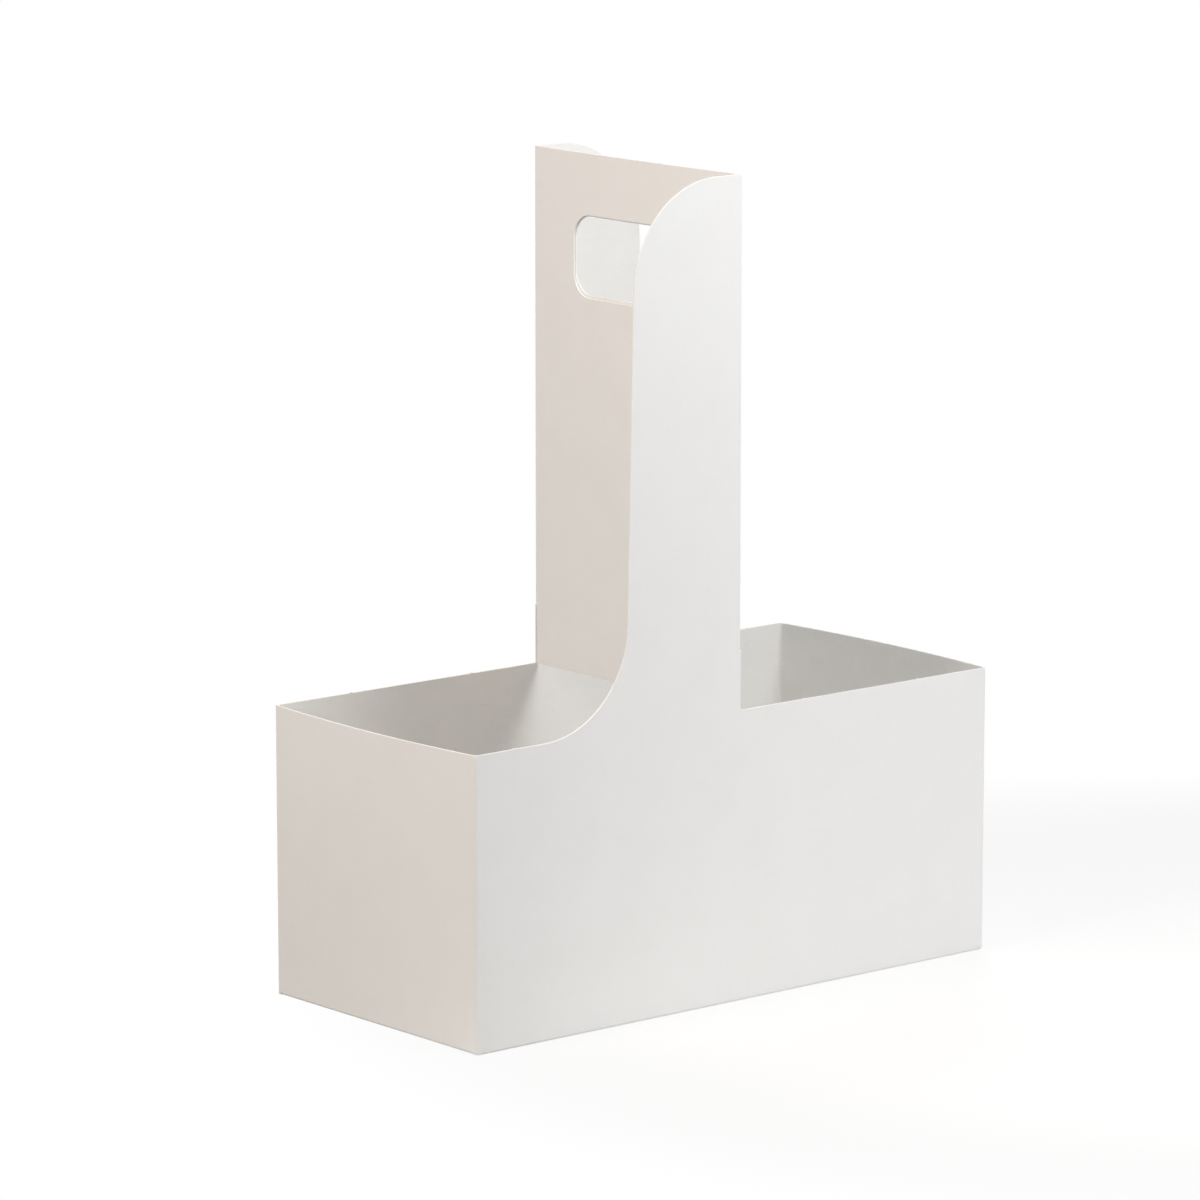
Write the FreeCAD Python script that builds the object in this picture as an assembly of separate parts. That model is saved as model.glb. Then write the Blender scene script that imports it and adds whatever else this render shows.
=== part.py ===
import FreeCAD, Part
import math
import os

# Cup carrier folded from one sheet of board: an open tray with a Z-shaped handle.
# Millimetres. The origin is the middle of the base, X runs along the tray, Z is up.

V = FreeCAD.Vector

# The sheet
board = 0.5
fold_radius = 1.0          # outside radius of a folded edge
base_radius = 0.8          # the same where the walls turn under the tray
glue_line = 0.08           # between the two layers of the cross web
hairline = 0.2             # where a cut edge lies against a neighbour

# The tray
length = 178.0
depth = 84.0
wall_height = 78.5
end_bow = 2.3              # how far the free rim of each end wall bulges out
straight_height = 4.0      # the bottom flaps hold the end walls straight up to here

# The handle
total_height = 219.8
shoulder_radius = 28.0
flat_top = 8.3             # straight part of a strip's top, next to its fold
foot_radius = 28.0
foot_reach = 66.2          # from the fold to where the foot curve lands on the rim
slit_height = 13.5         # up to here above the rim a strip's inner edge is cut, not folded
slit_setback = 0.2         # and the cut stands this far back from the fold's face
free_edge_gap = 1.9        # a web layer's free edge stops this far short of the tray's face
glue_inset = 2.5

# The hand hole
hole_width = 49.0
hole_height = 22.3
hole_below_top = 16.5
hole_corner = 6.5

# The bottom flaps
seam_width = 0.4
seam_step = 5.0            # the seam runs this far off the middle, once on each side
seam_slant = 9.0
flap_clear = 0.7           # free edges of flaps stay this far off their neighbours
end_flap_reach = 38.0
end_flap_slant = 26.0
end_flap_corner = 8.0
lug_start = 10.0
lug_reach = 17.0
lug_corner = 6.0

# The glue flap that closes the sheet, inside the corner at the back left
glue_flap_width = 14.0
glue_flap_slant = 3.5
glue_bite = 0.05           # the flap is pressed this far into the wall it is glued to

half_length = length / 2
half_depth = depth / 2
web_face = glue_line / 2 + board
slit_top = wall_height + slit_height
up = V(0, 0, 1)


def turned(shape):
    # the same piece on the other side of the tray
    copy = shape.copy()
    copy.rotate(V(0, 0, 0), up, 180)
    return copy


def outline(path):
    # closed line through points; a step of three points in a tuple is an arc
    edges = []
    here = path[-1][-1] if isinstance(path[-1], tuple) else path[-1]
    for step in path:
        start = step[0] if isinstance(step, tuple) else step
        if here.distanceToPoint(start) > 1e-6:
            edges.append(Part.LineSegment(here, start).toShape())
        if isinstance(step, tuple):
            edges.append(Part.Arc(*step).toShape())
            start = step[-1]
        here = start
    return Part.Wire(edges)


def plate(path, direction):
    return Part.Face(outline(path)).extrude(direction)


def bulge(bow, inset):
    # centre and radius of the arc that an end wall follows at a height where it bulges by bow
    radius = (half_depth ** 2 + bow ** 2) / (2 * bow)
    return half_length + bow - radius, radius - inset


def tray_outline(inset, bow, z):
    # the tray at one height: straight long walls, rounded folds, bulging ends
    corner = fold_radius - inset
    arc_y = half_depth - fold_radius
    fold_x, lean = half_length - fold_radius, 0
    if bow:
        centre, radius = bulge(bow, inset)
        fold_x = centre + math.sqrt((radius - corner) ** 2 - arc_y ** 2)
        lean = math.asin(arc_y / (radius - corner))
    turns = (math.pi / 2, (math.pi / 2 + lean) / 2, lean)
    path = []
    for sx, sy in ((1, -1), (1, 1), (-1, 1), (-1, -1)):
        fold = [V(sx * (fold_x + corner * math.cos(a)), sy * (arc_y + corner * math.sin(a)), z)
                for a in turns]
        path.append(tuple(fold if sx * sy < 0 else reversed(fold)))
    if bow:
        out = half_length - inset + bow
        path.insert(1, (path[0][-1], V(out, 0, z), path[1][0]))
        path.insert(4, (path[3][-1], V(-out, 0, z), path[4][0]))
    return outline(path)


def upper_block(inset):
    rings = [tray_outline(inset, 0, straight_height), tray_outline(inset, end_bow, wall_height)]
    return Part.makeLoft(rings, True, True)


def lower_block(inset, bottom):
    return Part.Face(tray_outline(inset, 0, bottom)).extrude(up * (straight_height - bottom))


def tray():
    # walls and bottom in one thickness of board, rounded where the walls turn under
    lower = lower_block(0, 0)
    lower = lower.makeFillet(base_radius, [e for e in lower.Edges if e.BoundBox.ZMax < board / 2])
    lower = lower.cut(lower_block(board, board))
    return lower.fuse(upper_block(0).cut(upper_block(board)))


def strip():
    # front strip of the handle, left of its fold: round shoulder, slight taper, swept foot
    y, fold_x = -half_depth, web_face - fold_radius
    shoulder = V(-flat_top, y, total_height - shoulder_radius)
    foot = V(-foot_reach, y, wall_height + foot_radius)
    between = foot - shoulder
    steep = 2 * math.pi + math.atan2(between.z, between.x)
    side = steep - math.acos((shoulder_radius + foot_radius) / between.Length)

    def arc(centre, radius, start, end):
        turns = (start, (start + end) / 2, end)
        return tuple(centre + V(radius * math.cos(a), 0, radius * math.sin(a)) for a in turns)

    slit_x = web_face - slit_setback
    return plate([V(slit_x, y, wall_height), V(slit_x, y, slit_top),
                  V(fold_x, y, slit_top), V(fold_x, y, total_height),
                  arc(shoulder, shoulder_radius, math.pi / 2, side),
                  arc(foot, foot_radius, side - math.pi, -math.pi / 2)], V(0, board, 0))


def strip_fold():
    # the rounded fold between the strip and its layer of the web, above the slit
    centre = V(web_face - fold_radius, -half_depth + fold_radius, slit_top)

    def arc(radius, turns):
        return tuple(centre + V(radius * math.cos(a), radius * math.sin(a), 0) for a in turns)

    quarter = (-math.pi / 2, -math.pi / 4, 0)
    return plate([arc(fold_radius, quarter), arc(fold_radius - board, quarter[::-1])],
                 up * (total_height - slit_top))


def upright_panel(x, thickness, side, low, high):
    return Part.makeBox(thickness, 2 * side, high - low, V(x, -side, low))


def hand_hole(grow):
    # rounded slot through the web, or a larger one that clears it
    high = total_height - hole_below_top + grow
    low = high - hole_height - 2 * grow
    slot = upright_panel(-half_depth, depth, hole_width / 2 + grow, low, high)
    through = [e for e in slot.Edges if e.BoundBox.XLength > half_depth]
    return slot.makeFillet(hole_corner + grow, through)


def web_layer():
    # the layer of the cross web that is folded from the front strip
    start, end = -half_depth + fold_radius, half_depth - free_edge_gap
    layer = Part.makeBox(board, end - start, total_height - wall_height,
                         V(glue_line / 2, start, wall_height))
    return layer.cut(hand_hole(0))


def web_glue():
    # the glued area that holds the two layers together, set in from their edges
    area = upright_panel(-glue_line / 2, glue_line, half_depth - free_edge_gap - glue_inset,
                         wall_height + glue_inset, total_height - glue_inset)
    return area.cut(hand_hole(glue_inset))


def bottom_seam():
    # stepped slit where the front and back bottom flaps meet and cross over
    end, above = half_length - fold_radius - flap_clear, seam_step + seam_width / 2
    upper = [V(-end, above, -board), V(-seam_slant, above, -board),
             V(seam_slant, above - 2 * seam_step, -board), V(end, above - 2 * seam_step, -board)]
    lower = [p - V(0, seam_width, 0) for p in reversed(upper)]
    return plate(upper + lower, up * (2 * board))


def bottom_side_edge():
    # hairline along the left end fold, where the front and back bottom flaps end
    side = half_depth - fold_radius
    return Part.makeBox(hairline, 2 * side, board * 1.6, V(-half_length + fold_radius, -side, -board))


def end_flap():
    # left end flap, lying inside on the front and back flaps and glued to the front one
    wall, side = -half_length + board + flap_clear / 2, half_depth - board - flap_clear
    tip, far = wall + end_flap_reach, side - end_flap_slant
    corner = end_flap_corner
    return plate([V(wall, -side, board), V(tip - corner / 2, -side, board),
                  V(tip, -side + corner, board), V(tip, far - corner, board),
                  V(tip - corner, far, board), V(wall, side, board)], up * board)


def lug():
    # locking lug of the front flap, passed over the back flap inside the tray
    reach = half_length - board - flap_clear * 1.5 - end_flap_reach - lug_start
    rooted = seam_step - lug_corner / 2
    box = Part.makeBox(reach, seam_step + lug_reach - rooted, board, V(-lug_start - reach, rooted, board))
    far = [e for e in box.Edges if e.BoundBox.ZLength > board / 2 and e.BoundBox.YMin > seam_step]
    return box.makeFillet(lug_corner, far)


def end_wall_slab(inset, thickness, y0, y1, high):
    # a slab that follows the left end wall's bulge
    low = straight_height + flap_clear

    def ring(z):
        bow = end_bow * (z - straight_height) / (wall_height - straight_height)
        centre, radius = bulge(bow, inset)

        def arc(radius, ys):
            return tuple(V(-centre - math.sqrt(radius ** 2 - y ** 2), y, z) for y in ys)

        ys = (y0, (y0 + y1) / 2, y1)
        return outline([arc(radius, ys), arc(radius - thickness, ys[::-1])])

    return Part.makeLoft([ring(low), ring(high)], True, True)


def glue_flap():
    # flap of the back wall, glued to the inside of the left end wall
    end = half_depth - board
    start, low, high = end - glue_flap_width, straight_height, wall_height - flap_clear
    slab = end_wall_slab(board - glue_bite, board + glue_bite, start, end, high)
    shape = [V(0, end, low), V(0, start, low + glue_flap_slant), V(0, start, high - glue_flap_slant),
             V(0, end, high)]
    return slab.common(plate(shape, V(-length, 0, 0)))


def raw_edge():
    # hairline where the left end wall's cut edge meets the fold of the glue flap
    end = half_depth - fold_radius
    return end_wall_slab(-board / 2, board, end - hairline, end, wall_height)


carrier = tray()
for cut in (bottom_seam(), bottom_side_edge(), turned(bottom_side_edge()), raw_edge()):
    carrier = carrier.cut(cut)
for piece in (strip(), strip_fold(), web_layer(), end_flap(), lug()):
    carrier = carrier.fuse([piece, turned(piece)])
carrier = carrier.fuse([web_glue(), glue_flap()]).removeSplitter().Solids[0]
os.makedirs("parts", exist_ok=True)
carrier.exportStep("parts/carrier.step")
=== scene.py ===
import math

import bmesh
import bpy
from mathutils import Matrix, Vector


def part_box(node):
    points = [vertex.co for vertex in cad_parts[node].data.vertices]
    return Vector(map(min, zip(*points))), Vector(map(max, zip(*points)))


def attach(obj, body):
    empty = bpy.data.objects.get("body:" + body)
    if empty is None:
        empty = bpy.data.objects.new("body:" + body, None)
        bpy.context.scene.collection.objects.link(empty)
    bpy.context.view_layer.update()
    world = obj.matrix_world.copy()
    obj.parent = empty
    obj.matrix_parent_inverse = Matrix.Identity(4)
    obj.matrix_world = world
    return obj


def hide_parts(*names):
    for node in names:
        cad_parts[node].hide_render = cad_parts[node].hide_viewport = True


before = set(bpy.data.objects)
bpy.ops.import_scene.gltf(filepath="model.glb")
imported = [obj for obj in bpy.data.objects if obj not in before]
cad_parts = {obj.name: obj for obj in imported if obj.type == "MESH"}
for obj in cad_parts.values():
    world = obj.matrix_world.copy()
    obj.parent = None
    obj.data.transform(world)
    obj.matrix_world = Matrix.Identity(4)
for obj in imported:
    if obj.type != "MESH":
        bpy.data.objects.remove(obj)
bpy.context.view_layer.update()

MM = 0.001
_, cad_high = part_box("carrier")

# Board and folds. All sizes are in millimetres, and radii are those of a fold's outside
BOARD = 0.5
FOLD = 1.0
BASE_FOLD = 0.8
GLUE_LINE = 0.08
SEAT = 0.04
EDGE_ROUND = 0.1
BEAD = 0.1

# Tray
LENGTH, WALL = 178.0, 78.5
DEPTH, TOP = round(2000 * cad_high.y, 1), round(1000 * cad_high.z, 1)
END_BOW, STRAIGHT = round(1000 * cad_high.x - LENGTH / 2, 1), 4.0
CORNER_LOW, CORNER_TAPER, END_LOW = 0.2, 0.1, 0.12

# Strips, web and hand hole
SHOULDER, FLAT_TOP = 28.0, 8.3
FOOT, FOOT_REACH = 28.0, 66.2
SLIT_TOP, SLIT_SETBACK = WALL + 16.5, 0.2
TEAR, TEAR_START, TEAR_WIDEST, TEAR_END = 0.1, 1.6, 1.2, 0.3
FREE_EDGE_GAP = 1.9
HOLE_WIDTH, HOLE_HEIGHT, HOLE_CORNER = 49.0, 22.3, 6.5
HOLE_BELOW_TOP = 16.5
HOLE_STEP_TOP, HOLE_STEP_FOOT = 0.35, 0.7

# Flaps
SEAM_GAP, SEAM_STEP, SEAM_SLANT = 0.4, 5.0, 9.0
FLAP_CLEAR = 0.7
END_FLAP_REACH, END_FLAP_SLANT, END_FLAP_CORNER = 38.0, 26.0, 8.0
LUG_START, LUG_REACH, LUG_CORNER, LUG_RAMP, LUG_SLIT = 10.0, 17.0, 6.0, 3.0, 0.3
GLUE_FLAP, GLUE_FLAP_SLANT = 14.0, 3.5
RAW_EDGE = 0.3

# How the panels settle, and the stubs that the die leaves on the rims
WEB_BOW = 0.9
WAVE_DEPTH, WAVE_LENGTH = 0.35, 45.0
FIELD = 12.0
NICK_WIDTH, NICK_HEIGHT = 0.8, 0.2
NICKS_RIGHT, NICK_LEFT = (64, 23), -76

# Steps in a fold, in a strip's curves and in the round corners of the hole and the lugs
FOLD_STEPS, CURVE_STEPS, HOLE_STEPS, LUG_STEPS, END_STEPS, FLAP_STEPS = 6, 28, 10, 8, 20, 6

HALF_L, HALF_D = LENGTH / 2, DEPTH / 2
FOLD_Y = HALF_D - FOLD
WEB_FACE = GLUE_LINE / 2 + BOARD
END_BASE = END_LOW + BASE_FOLD
FLAP_SIDE = HALF_L - FOLD - FLAP_CLEAR
HEIGHTS = [CORNER_LOW, BASE_FOLD, END_BASE, STRAIGHT, 16, 28, 40, 52, 64, WALL - 1, WALL]


class Sheet:
    """One sheet of board. Each point is a pair: one on the coated side, one on the plain side."""

    def __init__(self):
        self.pairs, self.index, self.folds, self.rings = [], {}, [], []

    def point(self, coated, plain, fold=0.0, turn=False):
        if turn:
            coated, plain = [(-x, -y, z) for x, y, z in (coated, plain)]
        key = tuple(round(c, 3) + 0.0 for c in (*coated, *plain))
        if key not in self.index:
            self.index[key] = len(self.pairs)
            self.pairs.append((Vector(coated), Vector(plain)))
            self.folds.append(fold)
        return self.index[key]

    def panel(self, points):
        """A flat or nearly flat face, turned so that its coated side faces out."""
        ring = [p for k, p in enumerate(points) if p != points[k - 1]]
        if len(ring) < 3:
            return
        normal, out = Vector(), Vector()
        for a, b in zip(ring, ring[1:] + ring[:1]):
            normal += self.pairs[a][0].cross(self.pairs[b][0])
            out += self.pairs[a][0] - self.pairs[a][1]
        self.rings.append(ring if normal.dot(out) > 0 else ring[::-1])

    def strip(self, rows):
        """Quads between neighbouring rows of points."""
        for low, high in zip(rows, rows[1:]):
            for k in range(len(low) - 1):
                self.panel([low[k], low[k + 1], high[k + 1], high[k]])

    def coated_side(self, name):
        """Mesh of the coated side. Attributes give the way to the plain side, and the folds."""
        mesh = bpy.data.meshes.new(name)
        mesh.from_pydata([coated * MM for coated, plain in self.pairs], [], self.rings)
        ways = [c * MM for coated, plain in self.pairs for c in plain - coated]
        mesh.attributes.new("inward", "FLOAT_VECTOR", "POINT").data.foreach_set("vector", ways)
        mesh.attributes.new("fold", "FLOAT", "POINT").data.foreach_set("value", self.folds)
        mesh.update()
        return mesh


def turns(start, end, steps):
    return [start + (end - start) * k / steps for k in range(steps + 1)]


def fold_weight(k):
    """0 where a fold starts and ends, 1 in its middle."""
    return math.sin(math.pi * k / FOLD_STEPS)


def inner_radius(outer, k):
    """Radius of a fold's plain side, where the creased fibres stand up as a bead."""
    return outer - BOARD - BEAD * fold_weight(k) ** 2


def end_arc(z, inset=0.0):
    """Arc of an end wall at height z: its centre, radius and angle, and where the fold starts."""
    bow = END_BOW * max(z - STRAIGHT, 0) / (WALL - STRAIGHT)
    if bow < 1e-6:
        return None, None, 0.0, HALF_L - FOLD - inset
    radius = (HALF_D ** 2 + bow ** 2) / (2 * bow)
    centre = HALF_L + bow - radius
    reach = radius - inset - FOLD
    fold_x = centre + math.sqrt(reach ** 2 - FOLD_Y ** 2)
    return centre, radius - inset, math.asin(FOLD_Y / reach), fold_x


def end_point(sheet, z, share, turn, inset=0.0):
    """A point of the right end wall. Share runs from -1 at the front fold to 1 at the back fold."""
    centre, radius, lean, _ = end_arc(z, inset)
    if centre is None:
        coated = (HALF_L - inset, FOLD_Y * share, z)
        plain = (HALF_L - inset - BOARD, FOLD_Y * share, z)
    else:
        c, s = math.cos(lean * share), math.sin(lean * share)
        coated = (centre + radius * c, radius * s, z)
        plain = (centre + (radius - BOARD) * c, (radius - BOARD) * s, z)
    return sheet.point(coated, plain, turn=turn)


def corner_fold(sheet, side, turn, inset=0.0):
    """Upright fold between a long wall and the right end wall, at the front (side -1) or back."""
    rows = []
    for z in HEIGHTS:
        _, _, lean, fold_x = end_arc(z, inset)
        row = []
        for k, a in enumerate(turns(math.pi / 2, lean, FOLD_STEPS)):
            c, s, inner = math.cos(a), math.sin(a), inner_radius(FOLD, k)
            row.append(sheet.point((fold_x + FOLD * c, side * (FOLD_Y + FOLD * s), z),
                                   (fold_x + inner * c, side * (FOLD_Y + inner * s), z),
                                   fold_weight(k), turn))
        rows.append(row)
    sheet.strip(rows)
    return rows


def long_wall(sheet, turn, inset=0.0):
    """Front wall with its strip, the fold into the web, the web layer and the bottom flap."""
    def on_wall(x, z):
        return sheet.point((x, -HALF_D, z), (x, -HALF_D + BOARD, z), turn=turn)

    def nick(x):
        """Stub on the rim, where the sheet hung on its waste."""
        half = NICK_WIDTH / 2
        return [on_wall(x + half, WALL), on_wall(x + half / 2, WALL + NICK_HEIGHT),
                on_wall(x - half / 2, WALL + NICK_HEIGHT), on_wall(x - half, WALL)]

    outline = [on_wall(-FLAP_SIDE - CORNER_TAPER, CORNER_LOW), on_wall(-FLAP_SIDE, BASE_FOLD)]
    outline += [on_wall(FLAP_SIDE, BASE_FOLD), on_wall(FLAP_SIDE + CORNER_TAPER, CORNER_LOW)]
    outline += [on_wall(end_arc(z, inset)[3], z) for z in HEIGHTS]
    for x in NICKS_RIGHT:
        outline += nick(x)
    fold_x, slit_x = WEB_FACE - FOLD, WEB_FACE - SLIT_SETBACK
    torn, uncut = (slit_x, slit_x) if turn else (WEB_FACE + TEAR, WEB_FACE)
    outline += [on_wall(slit_x, WALL), on_wall(slit_x, SLIT_TOP - TEAR_START)]
    outline += [on_wall(torn, SLIT_TOP - TEAR_WIDEST), on_wall(uncut, SLIT_TOP - TEAR_END)]
    outline += [on_wall(fold_x, SLIT_TOP - TEAR_END), on_wall(fold_x, SLIT_TOP)]
    outline += [on_wall(fold_x, TOP), on_wall(-FLAT_TOP, TOP)]
    shoulder, foot = Vector((-FLAT_TOP, TOP - SHOULDER)), Vector((-FOOT_REACH, WALL + FOOT))
    between = foot - shoulder
    side = 2 * math.pi + math.atan2(between.y, between.x)
    side -= math.acos((SHOULDER + FOOT) / between.length)
    for centre, radius, start, end in ((shoulder, SHOULDER, math.pi / 2, side),
                                       (foot, FOOT, side - math.pi, -math.pi / 2)):
        outline += [on_wall(centre.x + radius * math.cos(a), centre.y + radius * math.sin(a))
                    for a in turns(start, end, CURVE_STEPS)]
    outline += nick(NICK_LEFT)
    outline += [on_wall(-end_arc(z)[3], z) for z in reversed(HEIGHTS)]
    sheet.panel(outline)

    columns = []
    for k, a in enumerate(turns(-math.pi / 2, 0, FOLD_STEPS)):
        c, s, inner = math.cos(a), math.sin(a), inner_radius(FOLD, k)
        columns.append([sheet.point((fold_x + FOLD * c, -FOLD_Y + FOLD * s, z),
                                    (fold_x + inner * c, -FOLD_Y + inner * s, z),
                                    fold_weight(k), turn) for z in (SLIT_TOP, TOP)])
    sheet.strip(columns)
    web_layer(sheet, turn)
    bottom_flap(sheet, turn)


def web_layer(sheet, turn):
    """Layer of the cross web with its hand hole, which is cut a little smaller in the right layer."""
    def on_web(y, z):
        return sheet.point((WEB_FACE, y, z), (WEB_FACE - BOARD, y, z), turn=turn)

    high, low = TOP - HOLE_BELOW_TOP, TOP - HOLE_BELOW_TOP - HOLE_HEIGHT
    if not turn:
        high, low = high - HOLE_STEP_TOP, low + HOLE_STEP_FOOT
    for side, edge in ((-1, FOLD_Y), (1, HALF_D - FREE_EDGE_GAP)):
        outline = [on_web(side * edge, WALL), on_web(0, WALL), on_web(0, low)]
        for z, start in ((low + HOLE_CORNER, -math.pi / 2), (high - HOLE_CORNER, 0)):
            y = HOLE_WIDTH / 2 - HOLE_CORNER
            outline += [on_web(side * (y + HOLE_CORNER * math.cos(a)), z + HOLE_CORNER * math.sin(a))
                        for a in turns(start, start + math.pi / 2, HOLE_STEPS)]
        outline += [on_web(0, high), on_web(0, TOP)]
        outline += [on_web(side * edge, TOP), on_web(side * edge, SLIT_TOP)]
        sheet.panel(outline)


def bottom_flap(sheet, turn):
    """Front bottom flap, its fold and the lug that is passed over the back flap."""
    def flat(x, y, lift=0.0, fold=0.0):
        return sheet.point((x, y, lift), (x, y, lift + BOARD), fold, turn)

    rows = []
    base = -HALF_D + BASE_FOLD
    for k, a in enumerate(turns(0, math.pi / 2, FOLD_STEPS)):
        c, s, inner = math.cos(a), math.sin(a), inner_radius(BASE_FOLD, k)
        rows.append([sheet.point((x, base - BASE_FOLD * c, BASE_FOLD - BASE_FOLD * s),
                                 (x, base - inner * c, BASE_FOLD - inner * s), fold_weight(k), turn)
                     for x in (-FLAP_SIDE, FLAP_SIDE)])
    sheet.strip(rows)
    seam = SEAM_STEP - SEAM_GAP / 2
    start, end = -LUG_START, -(HALF_L - BOARD - FLAP_CLEAR * 1.5 - END_FLAP_REACH)
    rise, far = seam - LUG_RAMP, seam - 2 * SEAM_STEP
    sheet.panel([flat(-FLAP_SIDE, base), flat(FLAP_SIDE, base), flat(FLAP_SIDE, far),
                 flat(SEAM_SLANT, far), flat(-SEAM_SLANT, seam), flat(start + LUG_SLIT, seam),
                 flat(start + LUG_SLIT, rise), flat(start, rise), flat(end, rise),
                 flat(end - LUG_SLIT, rise), flat(end - LUG_SLIT, seam), flat(-FLAP_SIDE, seam)])
    lift = BOARD + SEAT
    sheet.strip([[flat(start, rise), flat(end, rise)],
                 [flat(start, seam, lift), flat(end, seam, lift)]])
    tip = SEAM_STEP + LUG_REACH - LUG_CORNER
    outline = [flat(end, seam, lift), flat(start, seam, lift)]
    for x, first in ((start - LUG_CORNER, 0), (end + LUG_CORNER, math.pi / 2)):
        outline += [flat(x + LUG_CORNER * math.cos(a), tip + LUG_CORNER * math.sin(a), lift)
                    for a in turns(first, first + math.pi / 2, LUG_STEPS)]
    sheet.panel(outline)


def end_wall(sheet, turn, raw_front=False):
    """Right end wall with its bottom flap. A raw front edge is cut, beside the glue flap's fold."""
    inner, step = (FOLD_Y - FLAP_CLEAR) / FOLD_Y, 0.003
    front = -(HALF_D - RAW_EDGE) / FOLD_Y if raw_front else -1.0
    ends = [front, -inner - step, inner + step, 1.0]
    shares = ends[:2] + turns(-inner, inner, END_STEPS) + ends[2:]
    sheet.strip([[end_point(sheet, z, s, turn) for s in shares] for z in HEIGHTS[2:]])
    for pair in (ends[:2], ends[2:]):
        sheet.strip([[end_point(sheet, z, s, turn) for s in pair] for z in HEIGHTS[:3]])
    rows, x = [], HALF_L - BASE_FOLD
    places = [FOLD_Y * share for share in shares[2:-2]]
    for k, a in enumerate(turns(0, math.pi / 2, FOLD_STEPS)):
        c, s, inner = math.cos(a), math.sin(a), inner_radius(BASE_FOLD, k)
        rows.append([sheet.point((x + BASE_FOLD * c, y, END_BASE - BASE_FOLD * s),
                                 (x + inner * c, y, END_BASE - inner * s), fold_weight(k), turn)
                     for y in places])
    low, side = BOARD + SEAT, FOLD_Y - FLAP_CLEAR

    def flat(x, y):
        return sheet.point((x, y, low), (x, y, low + BOARD), turn=turn)

    rows.append([flat(FLAP_SIDE, y) for y in places])
    sheet.strip(rows)
    tip, far = HALF_L - BOARD - FLAP_CLEAR / 2 - END_FLAP_REACH, side - END_FLAP_SLANT
    corner = END_FLAP_CORNER
    sheet.panel(rows[-1] + [flat(tip + corner / 2, side), flat(tip, side - corner),
                            flat(tip, corner - far), flat(tip + corner, -far)])


def glue_flap(sheet, turn):
    """The flap that closes the sheet: it goes on from a long wall's fold, inside the end wall."""
    inset, heights = BOARD + SEAT, HEIGHTS[2:-1]
    fold = corner_fold(sheet, -1, turn, inset)
    columns = [[row[-1] for row in fold[2:-1]]]
    low, high = heights[0], heights[-1]
    for share in turns(0, 1, FLAP_STEPS)[1:]:
        start, end = low + GLUE_FLAP_SLANT * share, high - GLUE_FLAP_SLANT * share
        columns.append([end_point(sheet, start + (z - low) / (high - low) * (end - start),
                                  -1 + share * GLUE_FLAP / FOLD_Y, turn, inset) for z in heights])
    sheet.strip(columns)


def folded_sheet():
    """The whole sheet, folded up. It starts with the front wall and closes with the glue flap."""
    sheet = Sheet()
    long_wall(sheet, False)
    corner_fold(sheet, -1, False)
    end_wall(sheet, False)
    corner_fold(sheet, 1, False)
    long_wall(sheet, True, BOARD + SEAT)
    glue_flap(sheet, True)
    end_wall(sheet, True, raw_front=True)
    corner_fold(sheet, 1, True)
    return sheet


class Nodes:
    """A node tree being built: one method adds a node with its settings and its inputs."""

    def __init__(self, tree):
        self.tree = tree

    def add(self, kind, inputs=None, **settings):
        node = self.tree.nodes.new(kind)
        for name, value in settings.items():
            setattr(node, name, value)
        for name, value in (inputs or {}).items():
            self.feed(node.inputs[name], value)
        return node

    def feed(self, socket, value):
        source = value.socket if isinstance(value, Value) else value
        if isinstance(source, bpy.types.NodeSocket):
            self.tree.links.new(source, socket)
        else:
            socket.default_value = source

    def value(self, kind, output=0, inputs=None, **settings):
        return Value(self, self.add(kind, inputs, **settings).outputs[output])

    def axes(self, place):
        parts = self.add("ShaderNodeSeparateXYZ", {0: place})
        return [Value(self, parts.outputs[k]) for k in range(3)]

    def grain(self, place, size, stretch=(1, 1, 1), detail=2.0, rough=0.5):
        """Noise around 0.5. Its features have a size in millimetres, drawn out along each axis."""
        scale = [1 / (size * MM * s) for s in stretch]
        scaled = self.add("ShaderNodeVectorMath", {0: place, 1: scale}, operation="MULTIPLY").outputs[0]
        return self.value("ShaderNodeTexNoise", "Fac", {"Vector": scaled, "Scale": 1.0,
                                                        "Detail": detail, "Roughness": rough})

    def blend(self, share, first, second):
        """Colour between two colours."""
        mix = self.add("ShaderNodeMix", {"Factor": share, 6: first, 7: second}, data_type="RGBA")
        return mix.outputs[2]


class Value:
    """A number in a node tree, so that masks are written as sums and products."""

    def __init__(self, nodes, socket):
        self.nodes, self.socket = nodes, socket

    def math(self, operation, *others):
        inputs = {k + 1: o for k, o in enumerate(others)}
        return self.nodes.value("ShaderNodeMath", 0, {0: self, **inputs}, operation=operation)

    def __add__(self, other):
        return self.math("ADD", other)

    def __mul__(self, other):
        return self.math("MULTIPLY", other)

    def __sub__(self, other):
        return self.math("SUBTRACT", other)

    def __rsub__(self, other):
        return self.math("MULTIPLY_ADD", -1.0, other)

    def __pow__(self, other):
        return self.math("POWER", other)

    def __abs__(self):
        return self.math("ABSOLUTE")

    __radd__, __rmul__ = __add__, __mul__

    def between(self, low, high):
        """0 below low, 1 above high, smooth in between."""
        return self.nodes.value("ShaderNodeMapRange", 0, {0: self, 1: low, 2: high},
                                interpolation_type="SMOOTHSTEP")

    def within(self, limit):
        return self.math("LESS_THAN", limit)


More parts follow.
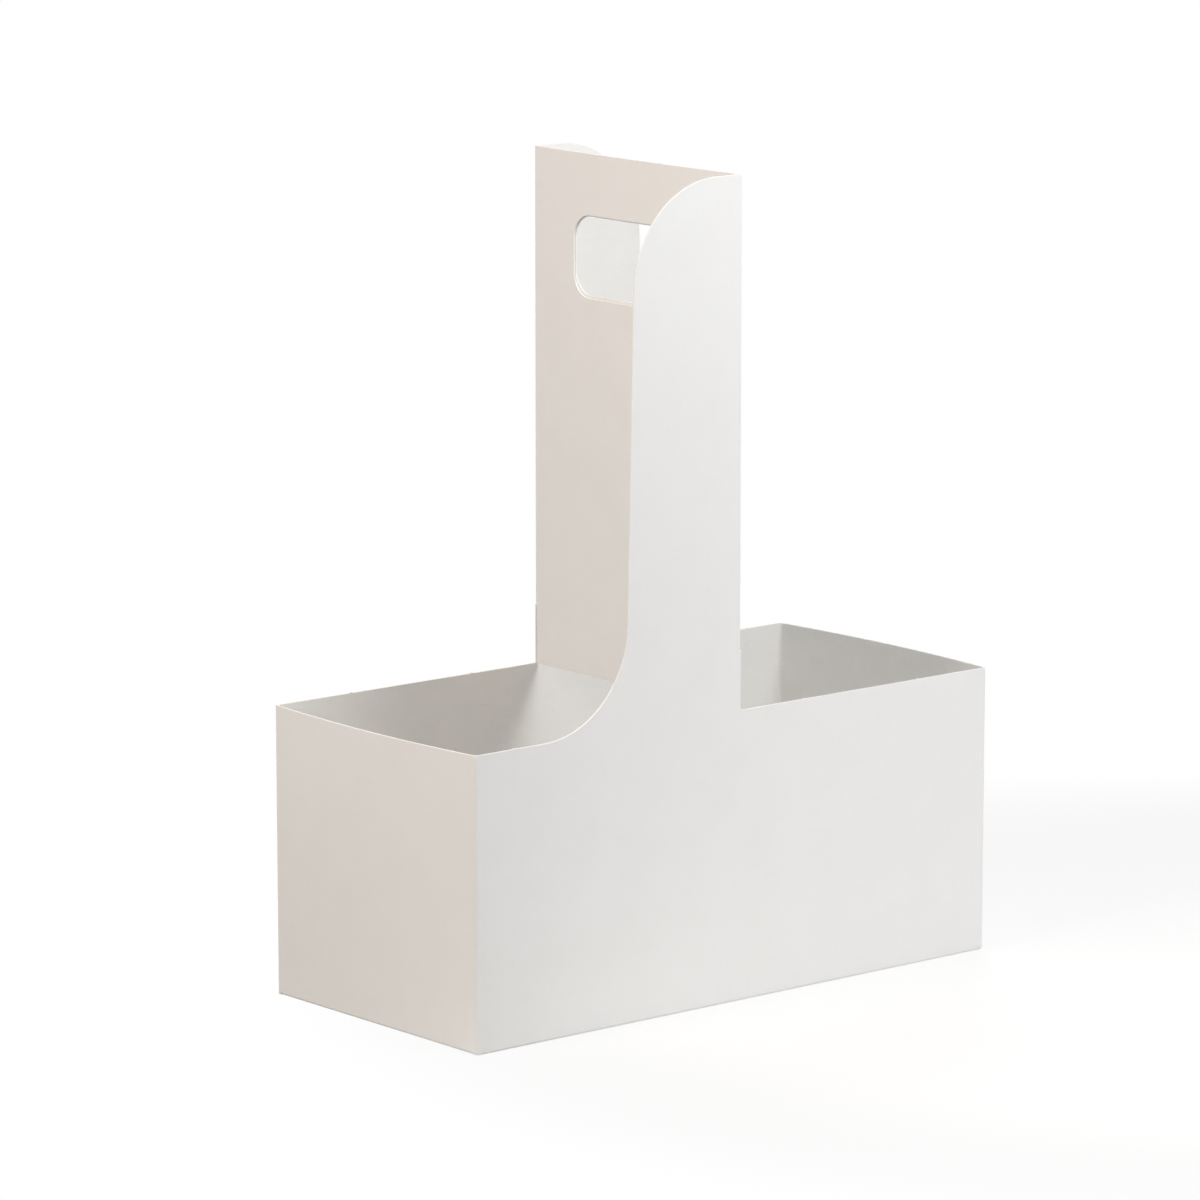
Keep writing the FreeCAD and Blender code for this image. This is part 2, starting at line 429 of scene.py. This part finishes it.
def folding_tree(coated, plain, cut):
    """Makes board of the coated side: panels settle, then come a plain side and cut edges."""
    tree = bpy.data.node_groups.new("folded_board", "GeometryNodeTree")
    tree.is_modifier = True
    tree.interface.new_socket("Geometry", in_out="INPUT", socket_type="NodeSocketGeometry")
    sizes = {}
    for name in ("Web Bow", "Wave Depth", "Wave Length"):
        socket = tree.interface.new_socket(name, in_out="INPUT", socket_type="NodeSocketFloat")
        sizes[name] = socket.identifier
    tree.interface.new_socket("Geometry", in_out="OUTPUT", socket_type="NodeSocketGeometry")
    n = Nodes(tree)
    start, end = n.add("NodeGroupInput"), n.add("NodeGroupOutput")
    bow, depth, length = [Value(n, start.outputs[name]) for name in sizes]

    def marked(geometry, name, value, kind="FLOAT", domain="POINT", chosen=True):
        """The geometry with a value stored on its points or faces."""
        inputs = {"Geometry": geometry, "Selection": chosen, "Name": name, "Value": value}
        stored = n.add("GeometryNodeStoreNamedAttribute", inputs, data_type=kind, domain=domain)
        return stored.outputs[0]

    def moved(geometry, way, chosen=True):
        inputs = {"Geometry": geometry, "Selection": chosen, "Offset": way}
        return n.add("GeometryNodeSetPosition", inputs).outputs[0]

    def read(name, kind):
        return n.add("GeometryNodeInputNamedAttribute", {"Name": name}, data_type=kind).outputs[0]

    place, inward = n.add("GeometryNodeInputPosition").outputs[0], read("inward", "FLOAT_VECTOR")
    x, y, z = n.axes(place)
    web = abs(x).within((WEB_FACE + 0.1) * MM)
    across = (1.0 - (y * (1 / (FOLD_Y * MM))) ** 2.0).math("MAXIMUM", 0.0)
    raised = z.between(WALL * MM, TOP * MM) * 0.6 + 0.4
    aside = n.add("ShaderNodeCombineXYZ", {"X": web * across * raised * bow * -1.0})

    waves = n.value("ShaderNodeTexNoise", "Fac",
                    {"Scale": length ** -1.0, "Detail": 1.0, "Vector": place})
    by_web = (1.0 - abs(x).between(0.0, FIELD * MM)) * z.between((WALL - FIELD) * MM, WALL * MM)
    by_end = (HALF_L * MM - abs(x)).between(0.0, FIELD * MM)
    free = by_end * z.between(0.0, 2 * FIELD * MM) * (1.0 - by_web)
    dip = n.add("ShaderNodeVectorMath",
                {0: inward, "Scale": waves * depth * free * (1 / (BOARD * MM))}, operation="SCALE")
    settling = n.add("ShaderNodeVectorMath", {0: aside.outputs[0], 1: dip.outputs[0]}, operation="ADD")
    front = marked(moved(start.outputs[0], settling.outputs[0]), "depth", 0.0)

    back = n.add("GeometryNodeFlipFaces", {"Mesh": moved(front, inward)}).outputs[0]
    back = marked(marked(back, "depth", 1.0), "layer", 1, "INT", "FACE")

    faces_beside = n.add("GeometryNodeInputMeshEdgeNeighbors").outputs[0]
    border = n.add("FunctionNodeCompare", {2: faces_beside, 3: 1}, data_type="INT", operation="EQUAL")
    rim = n.add("GeometryNodeExtrudeMesh",
                {"Mesh": front, "Selection": border.outputs[0], "Offset Scale": 0.0}, mode="EDGES")
    edges = marked(moved(rim.outputs[0], inward, rim.outputs[1]), "depth", 1.0, chosen=rim.outputs[1])
    edges = n.add("GeometryNodeSeparateGeometry",
                  {"Geometry": edges, "Selection": rim.outputs[2]}, domain="FACE").outputs[0]
    edges = marked(edges, "layer", 2, "INT", "FACE")

    join = n.add("GeometryNodeJoinGeometry")
    for part in (edges, back, front):
        tree.links.new(part, join.inputs[0])
    whole = n.add("GeometryNodeMergeByDistance", {"Geometry": join.outputs[0], "Distance": MM * MM})
    whole = n.add("GeometryNodeRealizeInstances", {"Geometry": whole.outputs[0]}).outputs[0]
    layer = read("layer", "INT")
    for number, material in enumerate((coated, plain, cut)):
        chosen = n.add("FunctionNodeCompare", {2: layer, 3: number}, data_type="INT", operation="EQUAL")
        inputs = {"Geometry": whole, "Selection": chosen.outputs[0], "Material": material}
        whole = n.add("GeometryNodeSetMaterial", inputs).outputs[0]
    tree.links.new(whole, end.inputs[0])
    return tree, sizes


def divided(mesh):
    """Cuts the flat panels into fields, so that they can bend a little."""
    work = bmesh.new()
    work.from_mesh(mesh)
    steps = [FIELD * (k + 0.5) for k in range(int(HALF_L / FIELD))]
    cuts = [(axis, sign * step) for axis in (0, 1) for step in steps for sign in (-1, 1)]
    shift, near = 1.5, 0.2
    above_rim = [WALL + FIELD * k + shift for k in range(1, int((TOP - WALL) / FIELD))]
    cuts += [(2, z) for z in HEIGHTS[3:-2] + above_rim]
    flat_x = (HALF_L - 2 * FOLD) * MM
    for axis, at in cuts:
        faces = [f for f in work.faces if axis == 2 or abs(f.calc_center_median().x) < flat_x]
        whole = list({e for f in faces for e in f.edges} | {v for f in faces for v in f.verts}) + faces
        point, normal = Vector(), Vector()
        point[axis], normal[axis] = at * MM, 1
        bmesh.ops.bisect_plane(work, geom=whole, dist=near * MM, plane_co=point, plane_no=normal)
    work.to_mesh(mesh)
    work.free()
    return mesh


def plain_mesh(obj):
    """The object with its modifiers made into its mesh."""
    mesh = bpy.data.meshes.new_from_object(obj.evaluated_get(bpy.context.evaluated_depsgraph_get()))
    obj.modifiers.clear()
    obj.data = mesh
    return obj


def outward(obj):
    """Doubles merged and every face turned to point out of the board."""
    work = bmesh.new()
    work.from_mesh(obj.data)
    bmesh.ops.remove_doubles(work, verts=work.verts, dist=MM * MM)
    bmesh.ops.recalc_face_normals(work, faces=work.faces)
    work.to_mesh(obj.data)
    work.free()
    obj.data.shade_smooth()


def carrier_of_board():
    """The carrier: one sheet, folded, made into board and given pressed cut edges."""
    mesh = divided(folded_sheet().coated_side("folded_carrier"))
    obj = bpy.data.objects.new("folded_carrier", mesh)
    bpy.context.scene.collection.objects.link(obj)
    finishes = coated_board(), plain_board(), cut_board()
    obj.data.materials.append(finishes[0])
    tree, sizes = folding_tree(*finishes)
    board = obj.modifiers.new("board", "NODES")
    board.node_group = tree
    for name, size in zip(sizes, (WEB_BOW, WAVE_DEPTH, WAVE_LENGTH)):
        board[sizes[name]] = size * MM
    outward(plain_mesh(obj))
    pressed = obj.modifiers.new("pressed_cut_edges", "BEVEL")
    pressed.width, pressed.segments, pressed.limit_method = EDGE_ROUND * MM, 2, "ANGLE"
    pressed.angle_limit, pressed.use_clamp_overlap = math.radians(50), False
    even = obj.modifiers.new("flat_panels", "WEIGHTED_NORMAL")
    even.keep_sharp = True
    return plain_mesh(obj)


def finish(name):
    """A material: itself, its node tree, its shader, and the place on the object."""
    made = bpy.data.materials.new(name)
    made.use_nodes = True
    n = Nodes(made.node_tree)
    place = n.add("ShaderNodeTexCoord").outputs["Object"]
    return made, n, made.node_tree.nodes["Principled BSDF"], place


def attribute(n, name):
    return n.value("ShaderNodeAttribute", "Fac", attribute_name=name)


def relief(n, shader, height, depth, strength):
    """Bump of a height, whose full range stands for a depth in millimetres."""
    bump = n.add("ShaderNodeBump", {"Height": height, "Distance": depth * MM, "Strength": strength})
    n.feed(shader.inputs["Normal"], bump.outputs[0])


def coated_board():
    """Outside of the board: a thin white coating with a faint satin, over the fibres."""
    made, n, shader, place = finish("coated_board")
    clouds = n.grain(place, 14, detail=3)
    along = n.grain(place, 0.7, (6, 6, 1), detail=3, rough=0.6)
    across = n.grain(place, 0.9, (1, 1, 5), detail=2)
    specks = n.grain(place, 0.35, detail=1)
    fibre = along * 0.6 + across * 0.4
    cracks = attribute(n, "fold") * n.grain(place, 0.5, (1, 1, 3), detail=3).between(0.48, 0.66)
    thin = (clouds * 0.7 + fibre * 0.6 - 0.35).between(0.1, 0.6)
    coat = n.blend(thin, (0.87, 0.868, 0.858, 1), (0.85, 0.846, 0.832, 1))
    coat = n.blend(cracks * 0.3, coat, (0.80, 0.785, 0.75, 1))
    n.feed(shader.inputs["Base Color"], coat)
    n.feed(shader.inputs["Roughness"], 0.36 + clouds * 0.12 + fibre * 0.08 + cracks * 0.2)
    relief(n, shader, fibre * 0.7 + specks * 0.3 - cracks * 0.5, 0.02, 0.35)
    shader.inputs["Specular IOR Level"].default_value = 0.45
    return made


def plain_board():
    """Inside of the board: uncoated, slightly warmer and rougher, with its fibres and a few specks."""
    made, n, shader, place = finish("plain_board")
    clouds = n.grain(place, 9, detail=4)
    along = n.grain(place, 0.6, (8, 8, 1), detail=3, rough=0.65)
    across = n.grain(place, 0.8, (1, 1, 7), detail=3, rough=0.6)
    felt = n.grain(place, 0.3, detail=2)
    fibre = along * 0.5 + across * 0.3 + felt * 0.2
    specks = n.grain(place, 0.8, detail=0).between(0.80, 0.84)
    tone = n.blend((clouds * 0.6 + fibre * 0.9 - 0.4).between(0.05, 0.65),
                   (0.875, 0.868, 0.85, 1), (0.84, 0.83, 0.805, 1))
    n.feed(shader.inputs["Base Color"], n.blend(specks * 0.25, tone, (0.60, 0.54, 0.45, 1)))
    n.feed(shader.inputs["Roughness"], 0.62 + fibre * 0.25)
    relief(n, shader, fibre, 0.03, 0.5)
    shader.inputs["Specular IOR Level"].default_value = 0.35
    return made


def cut_board():
    """Cut edge: bare fibres pressed by the knife, a white line of coating on one side."""
    made, n, shader, place = finish("cut_board")
    depth = attribute(n, "depth")
    strands = n.grain(place, 0.12, (5, 5, 1), detail=3, rough=0.65)
    tufts = n.grain(place, 0.5, detail=2)
    coat_line = 1.0 - depth.between(0.04, 0.14)
    core = (depth * (1.0 - depth) * 4.0).between(0.4, 0.9)
    fibre = strands * 0.7 + tufts * 0.3
    tone = n.blend(core * 0.3 + fibre * 0.25, (0.93, 0.925, 0.905, 1), (0.87, 0.86, 0.83, 1))
    n.feed(shader.inputs["Base Color"], n.blend(coat_line * 0.8, tone, (0.94, 0.937, 0.925, 1)))
    n.feed(shader.inputs["Roughness"], 0.75 + fibre * 0.2)
    relief(n, shader, fibre, 0.04, 0.5)
    return made


def floor():
    """White table top. Its colour is painted darker away from a spot in front of the carrier, a painted
    fall-off of light that shapes the light it throws back, and the picture shows it white far out too.
    """
    mesh = bpy.data.meshes.new("floor")
    half = 12
    corners = [(-half, -half, 0), (half, -half, 0), (half, half, 0), (-half, half, 0)]
    mesh.from_pydata(corners, [], [(0, 1, 2, 3)])
    obj = bpy.data.objects.new("floor", mesh)
    bpy.context.scene.collection.objects.link(obj)
    made, n, shader, place = finish("white_floor")
    painted_pool_centre = (0.12, -0.1, 0)
    out = n.value("ShaderNodeVectorMath", "Value", {0: place, 1: painted_pool_centre}, operation="DISTANCE")
    # Painted pool of light: paper white round the spot, fading to dark grey further out in place of
    # light that falls off
    paper_with_painted_falloff = n.blend(out.between(0.14, 0.3), (0.9, 0.9, 0.9, 1), (0.3, 0.3, 0.3, 1))
    n.feed(shader.inputs["Base Color"], paper_with_painted_falloff)
    shader.inputs["Roughness"].default_value = 0.9
    white = n.add("ShaderNodeEmission", {"Color": (1, 1, 1, 1), "Strength": 1.0})
    shown = n.add("ShaderNodeMixShader", {0: seen_ray(n) * (0.7 + out.between(0.14, 0.26) * 0.3),
                                          1: shader.outputs[0], 2: white.outputs[0]})
    n.feed(made.node_tree.nodes["Material Output"].inputs["Surface"], shown.outputs[0])
    mesh.materials.append(made)


def seen_ray(n):
    """1 for what the camera, a gloss or a clear material sees, 0 for the light on the object."""
    path = n.add("ShaderNodeLightPath")
    names = "Is Camera Ray", "Is Glossy Ray", "Is Transmission Ray"
    seen, gloss, clear = [Value(n, path.outputs[name]) for name in names]
    return seen.math("MAXIMUM", gloss).math("MAXIMUM", clear)


def room():
    """Soft light from all round, and a white room to look into."""
    world = bpy.data.worlds.new("room")
    bpy.context.scene.world = world
    world.use_nodes = True
    n, background = Nodes(world.node_tree), world.node_tree.nodes["Background"]
    shown, soft_light = seen_ray(n), 0.35
    n.feed(background.inputs["Strength"], shown + (1.0 - shown) * soft_light)
    n.feed(background.inputs["Color"], (1, 1, 1, 1))


def softbox(name, place, size, power, colour=(1, 1, 1)):
    """Round soft lamp that shines on the handle. It isn't seen itself."""
    lamp = bpy.data.lights.new(name, "AREA")
    lamp.shape, lamp.size, lamp.energy, lamp.color = "DISK", size, power, colour
    obj = bpy.data.objects.new(name, lamp)
    obj.location = place
    target = Vector((0, 0, 0.15))
    obj.rotation_euler = (target - Vector(place)).to_track_quat("-Z", "Y").to_euler()
    obj.visible_camera = False
    bpy.context.scene.collection.objects.link(obj)


def camera():
    """Long lens, slightly above the carrier, at the place that the photograph was taken from."""
    lens = bpy.data.cameras.new("camera")
    lens.lens, lens.sensor_width, lens.clip_end = 189.6, 36.0, 100
    obj = bpy.data.objects.new("camera", lens)
    obj.location = (-1.0724, -1.2608, 0.4149)
    obj.rotation_euler = (math.radians(79.29), 0, math.radians(-40.05))
    bpy.context.scene.collection.objects.link(obj)
    bpy.context.scene.camera = obj


carrier = carrier_of_board()
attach(carrier, "root")
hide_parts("carrier")

floor()
room()
softbox("key_softbox", (0.1, -0.35, 0.45), 0.25, 1.4, (0.91, 0.92, 0.935))
softbox("side_softbox", (-0.48, -0.04, 0.42), 0.25, 1.7, (1, 0.875, 0.77))
softbox("handle_softbox", (0.1, -0.25, 0.3), 0.1, 0.06, (1, 0.98, 0.94))
softbox("back_softbox", (0.8, 0.9, 0.7), 0.6, 5.5)
camera()
bpy.context.scene.view_settings.view_transform = "Standard"
